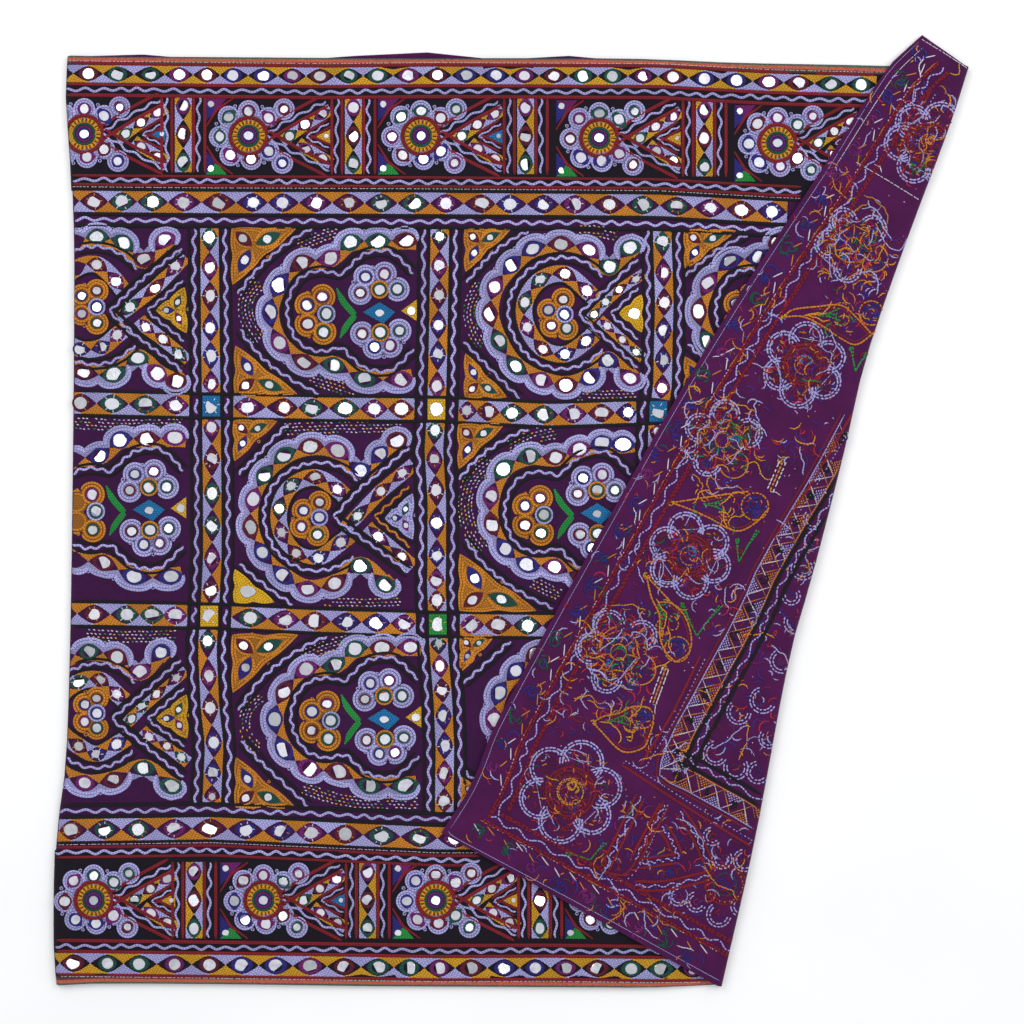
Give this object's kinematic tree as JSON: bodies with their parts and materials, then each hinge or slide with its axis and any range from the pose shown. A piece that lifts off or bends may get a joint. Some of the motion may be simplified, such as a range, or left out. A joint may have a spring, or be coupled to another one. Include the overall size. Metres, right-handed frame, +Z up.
{
  "type": "embroidered wall hanging",
  "caption": "Flat mirror-work wall hanging in bordered panels, lying face up with one side folded under and the other turned back.",
  "frame": {"origin": "under the middle of the laid-out cloth's bounding box, on the surface that it lies on", "axes": "+Z up out of the embroidered face, +Y towards the top hem, +X towards the side that is turned back"},
  "size_m": [0.9864, 1.0264, 0.012],
  "materials": {
    "ground": "matt purple cotton with dense thread embroidery",
    "border": "matt black cotton strip with dense thread embroidery",
    "edging": "woven edging striped orange and green",
    "thread": "stranded embroidery thread with a soft sheen",
    "mirror": "small hand-cut mirror glass"
  },
  "bodies": {
    "root": {"ground_cloth": "ground", "border_top": "border", "border_bottom": "border", "border_right": "border", "edging_top": "edging", "edging_bottom": "edging", "edging_right": "edging"}
  },
  "joints": []
}
